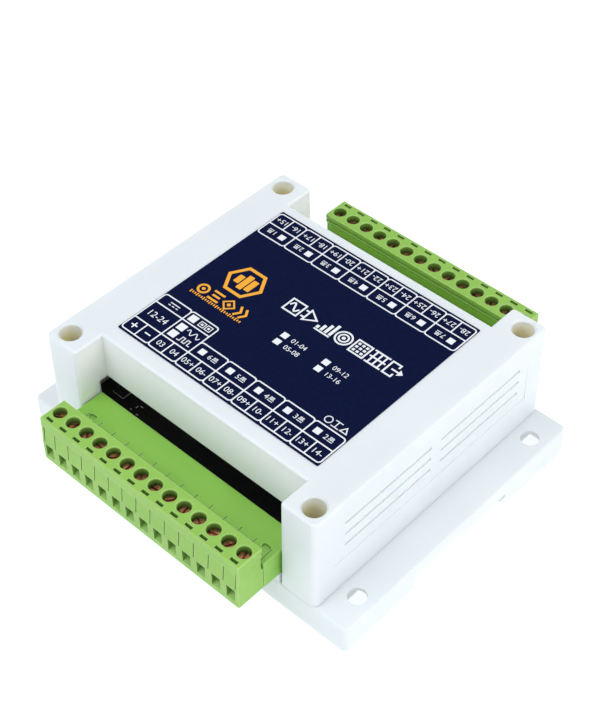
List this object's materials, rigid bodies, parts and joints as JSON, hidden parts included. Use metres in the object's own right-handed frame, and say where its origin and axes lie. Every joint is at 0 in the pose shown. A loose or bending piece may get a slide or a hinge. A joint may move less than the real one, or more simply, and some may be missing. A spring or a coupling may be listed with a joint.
{
  "type": "plc input output module",
  "caption": "Low square rail-mounted controller module with screw flanges, corner posts, a printed label and pluggable green terminal blocks on two sides.",
  "frame": {"origin": "centre of the case's underside", "axes": "+X along the terminal rows and the mounting rail, -Y towards the power side, +Z out of the mounting panel"},
  "size_m": [0.115, 0.118, 0.04],
  "materials": {
    "white_abs": "satin moulded, cool white",
    "label_film": "navy printed polycarbonate film",
    "plug_green": "satin moulded, yellow green",
    "header_green": "satin moulded, green",
    "clip_white": "satin moulded, cool white",
    "screw_brass": "yellow passivated steel, dull",
    "zinc_screw": "zinc plated",
    "spring_steel": "drawn wire",
    "tinned_metal": "tin plated",
    "board_black": "black solder mask",
    "chip_epoxy": "moulded epoxy",
    "capacitor_can": "bright can",
    "crystal_can": "bright can",
    "ferrite": "dark grey ferrite",
    "ceramic_chip": "sintered ceramic"
  },
  "bodies": {
    "case": {"base_shell": "white_abs", "top_cover": "white_abs", "label": "label_film", "case_screws": "zinc_screw", "board_screws": "zinc_screw", "clip_spring": "spring_steel", "pcb": "board_black", "microcontroller": "chip_epoxy", "rs485_transceiver": "chip_epoxy", "output_amplifiers": "chip_epoxy", "optocouplers": "chip_epoxy", "protection_diodes": "chip_epoxy", "voltage_regulator": "chip_epoxy", "electrolytic_capacitors": "capacitor_can", "power_inductor": "ferrite", "crystal": "crystal_can", "dc_dc_module": "chip_epoxy", "input_fuse": "chip_epoxy", "smd_passives": "ceramic_chip", "header_front": "header_green", "header_rear": "header_green", "header_pins_front": "tinned_metal", "header_pins_rear": "tinned_metal"},
    "plug_front": {"plug_front": "plug_green", "clamp_cages_front": "tinned_metal", "contacts_front": "tinned_metal"},
    "plug_rear": {"plug_rear": "plug_green", "clamp_cages_rear": "tinned_metal", "contacts_rear": "tinned_metal"},
    "din_clip": {"din_clip": "clip_white"},
    "terminal_screw_front_01": {"terminal_screw_front_01": "screw_brass"},
    "terminal_screw_front_02": {"terminal_screw_front_02": "screw_brass"},
    "terminal_screw_front_03": {"terminal_screw_front_03": "screw_brass"},
    "terminal_screw_front_04": {"terminal_screw_front_04": "screw_brass"},
    "terminal_screw_front_05": {"terminal_screw_front_05": "screw_brass"},
    "terminal_screw_front_06": {"terminal_screw_front_06": "screw_brass"},
    "terminal_screw_front_07": {"terminal_screw_front_07": "screw_brass"},
    "terminal_screw_front_08": {"terminal_screw_front_08": "screw_brass"},
    "terminal_screw_front_09": {"terminal_screw_front_09": "screw_brass"},
    "terminal_screw_front_10": {"terminal_screw_front_10": "screw_brass"},
    "terminal_screw_front_11": {"terminal_screw_front_11": "screw_brass"},
    "terminal_screw_front_12": {"terminal_screw_front_12": "screw_brass"},
    "terminal_screw_front_13": {"terminal_screw_front_13": "screw_brass"},
    "terminal_screw_front_14": {"terminal_screw_front_14": "screw_brass"},
    "terminal_screw_rear_01": {"terminal_screw_rear_01": "screw_brass"},
    "terminal_screw_rear_02": {"terminal_screw_rear_02": "screw_brass"},
    "terminal_screw_rear_03": {"terminal_screw_rear_03": "screw_brass"},
    "terminal_screw_rear_04": {"terminal_screw_rear_04": "screw_brass"},
    "terminal_screw_rear_05": {"terminal_screw_rear_05": "screw_brass"},
    "terminal_screw_rear_06": {"terminal_screw_rear_06": "screw_brass"},
    "terminal_screw_rear_07": {"terminal_screw_rear_07": "screw_brass"},
    "terminal_screw_rear_08": {"terminal_screw_rear_08": "screw_brass"},
    "terminal_screw_rear_09": {"terminal_screw_rear_09": "screw_brass"},
    "terminal_screw_rear_10": {"terminal_screw_rear_10": "screw_brass"},
    "terminal_screw_rear_11": {"terminal_screw_rear_11": "screw_brass"},
    "terminal_screw_rear_12": {"terminal_screw_rear_12": "screw_brass"},
    "terminal_screw_rear_13": {"terminal_screw_rear_13": "screw_brass"},
    "terminal_screw_rear_14": {"terminal_screw_rear_14": "screw_brass"}
  },
  "joints": [
    {"name": "plug_front_pull", "type": "slide", "parent": "case", "child": "plug_front", "axis": [0, -1, 0], "range_m": [0, 0.012]},
    {"name": "plug_rear_pull", "type": "slide", "parent": "case", "child": "plug_rear", "axis": [0, 1, 0], "range_m": [0, 0.012]},
    {"name": "din_clip_slide", "type": "slide", "parent": "case", "child": "din_clip", "axis": [0, -1, 0], "range_m": [0, 0.003], "stiffness_N_per_m": 400, "springref_m": -0.003, "deforming": ["clip_spring"]},
    {"name": "screw_turn_front_01", "type": "hinge", "parent": "plug_front", "child": "terminal_screw_front_01", "pos_m": [-0.03302, -0.0539, 0.0247], "axis": [0, 0, -1], "range_deg": [0, 1710]},
    {"name": "screw_turn_front_02", "type": "hinge", "parent": "plug_front", "child": "terminal_screw_front_02", "pos_m": [-0.02794, -0.0539, 0.0247], "axis": [0, 0, -1], "range_deg": [0, 1710]},
    {"name": "screw_turn_front_03", "type": "hinge", "parent": "plug_front", "child": "terminal_screw_front_03", "pos_m": [-0.02286, -0.0539, 0.0247], "axis": [0, 0, -1], "range_deg": [0, 1710]},
    {"name": "screw_turn_front_04", "type": "hinge", "parent": "plug_front", "child": "terminal_screw_front_04", "pos_m": [-0.01778, -0.0539, 0.0247], "axis": [0, 0, -1], "range_deg": [0, 1710]},
    {"name": "screw_turn_front_05", "type": "hinge", "parent": "plug_front", "child": "terminal_screw_front_05", "pos_m": [-0.0127, -0.0539, 0.0247], "axis": [0, 0, -1], "range_deg": [0, 1710]},
    {"name": "screw_turn_front_06", "type": "hinge", "parent": "plug_front", "child": "terminal_screw_front_06", "pos_m": [-0.00762, -0.0539, 0.0247], "axis": [0, 0, -1], "range_deg": [0, 1710]},
    {"name": "screw_turn_front_07", "type": "hinge", "parent": "plug_front", "child": "terminal_screw_front_07", "pos_m": [-0.00254, -0.0539, 0.0247], "axis": [0, 0, -1], "range_deg": [0, 1710]},
    {"name": "screw_turn_front_08", "type": "hinge", "parent": "plug_front", "child": "terminal_screw_front_08", "pos_m": [0.00254, -0.0539, 0.0247], "axis": [0, 0, -1], "range_deg": [0, 1710]},
    {"name": "screw_turn_front_09", "type": "hinge", "parent": "plug_front", "child": "terminal_screw_front_09", "pos_m": [0.00762, -0.0539, 0.0247], "axis": [0, 0, -1], "range_deg": [0, 1710]},
    {"name": "screw_turn_front_10", "type": "hinge", "parent": "plug_front", "child": "terminal_screw_front_10", "pos_m": [0.0127, -0.0539, 0.0247], "axis": [0, 0, -1], "range_deg": [0, 1710]},
    {"name": "screw_turn_front_11", "type": "hinge", "parent": "plug_front", "child": "terminal_screw_front_11", "pos_m": [0.01778, -0.0539, 0.0247], "axis": [0, 0, -1], "range_deg": [0, 1710]},
    {"name": "screw_turn_front_12", "type": "hinge", "parent": "plug_front", "child": "terminal_screw_front_12", "pos_m": [0.02286, -0.0539, 0.0247], "axis": [0, 0, -1], "range_deg": [0, 1710]},
    {"name": "screw_turn_front_13", "type": "hinge", "parent": "plug_front", "child": "terminal_screw_front_13", "pos_m": [0.02794, -0.0539, 0.0247], "axis": [0, 0, -1], "range_deg": [0, 1710]},
    {"name": "screw_turn_front_14", "type": "hinge", "parent": "plug_front", "child": "terminal_screw_front_14", "pos_m": [0.03302, -0.0539, 0.0247], "axis": [0, 0, -1], "range_deg": [0, 1710]},
    {"name": "screw_turn_rear_01", "type": "hinge", "parent": "plug_rear", "child": "terminal_screw_rear_01", "pos_m": [0.03302, 0.0539, 0.0247], "axis": [0, 0, -1], "range_deg": [0, 1710]},
    {"name": "screw_turn_rear_02", "type": "hinge", "parent": "plug_rear", "child": "terminal_screw_rear_02", "pos_m": [0.02794, 0.0539, 0.0247], "axis": [0, 0, -1], "range_deg": [0, 1710]},
    {"name": "screw_turn_rear_03", "type": "hinge", "parent": "plug_rear", "child": "terminal_screw_rear_03", "pos_m": [0.02286, 0.0539, 0.0247], "axis": [0, 0, -1], "range_deg": [0, 1710]},
    {"name": "screw_turn_rear_04", "type": "hinge", "parent": "plug_rear", "child": "terminal_screw_rear_04", "pos_m": [0.01778, 0.0539, 0.0247], "axis": [0, 0, -1], "range_deg": [0, 1710]},
    {"name": "screw_turn_rear_05", "type": "hinge", "parent": "plug_rear", "child": "terminal_screw_rear_05", "pos_m": [0.0127, 0.0539, 0.0247], "axis": [0, 0, -1], "range_deg": [0, 1710]},
    {"name": "screw_turn_rear_06", "type": "hinge", "parent": "plug_rear", "child": "terminal_screw_rear_06", "pos_m": [0.00762, 0.0539, 0.0247], "axis": [0, 0, -1], "range_deg": [0, 1710]},
    {"name": "screw_turn_rear_07", "type": "hinge", "parent": "plug_rear", "child": "terminal_screw_rear_07", "pos_m": [0.00254, 0.0539, 0.0247], "axis": [0, 0, -1], "range_deg": [0, 1710]},
    {"name": "screw_turn_rear_08", "type": "hinge", "parent": "plug_rear", "child": "terminal_screw_rear_08", "pos_m": [-0.00254, 0.0539, 0.0247], "axis": [0, 0, -1], "range_deg": [0, 1710]},
    {"name": "screw_turn_rear_09", "type": "hinge", "parent": "plug_rear", "child": "terminal_screw_rear_09", "pos_m": [-0.00762, 0.0539, 0.0247], "axis": [0, 0, -1], "range_deg": [0, 1710]},
    {"name": "screw_turn_rear_10", "type": "hinge", "parent": "plug_rear", "child": "terminal_screw_rear_10", "pos_m": [-0.0127, 0.0539, 0.0247], "axis": [0, 0, -1], "range_deg": [0, 1710]},
    {"name": "screw_turn_rear_11", "type": "hinge", "parent": "plug_rear", "child": "terminal_screw_rear_11", "pos_m": [-0.01778, 0.0539, 0.0247], "axis": [0, 0, -1], "range_deg": [0, 1710]},
    {"name": "screw_turn_rear_12", "type": "hinge", "parent": "plug_rear", "child": "terminal_screw_rear_12", "pos_m": [-0.02286, 0.0539, 0.0247], "axis": [0, 0, -1], "range_deg": [0, 1710]},
    {"name": "screw_turn_rear_13", "type": "hinge", "parent": "plug_rear", "child": "terminal_screw_rear_13", "pos_m": [-0.02794, 0.0539, 0.0247], "axis": [0, 0, -1], "range_deg": [0, 1710]},
    {"name": "screw_turn_rear_14", "type": "hinge", "parent": "plug_rear", "child": "terminal_screw_rear_14", "pos_m": [-0.03302, 0.0539, 0.0247], "axis": [0, 0, -1], "range_deg": [0, 1710]}
  ]
}
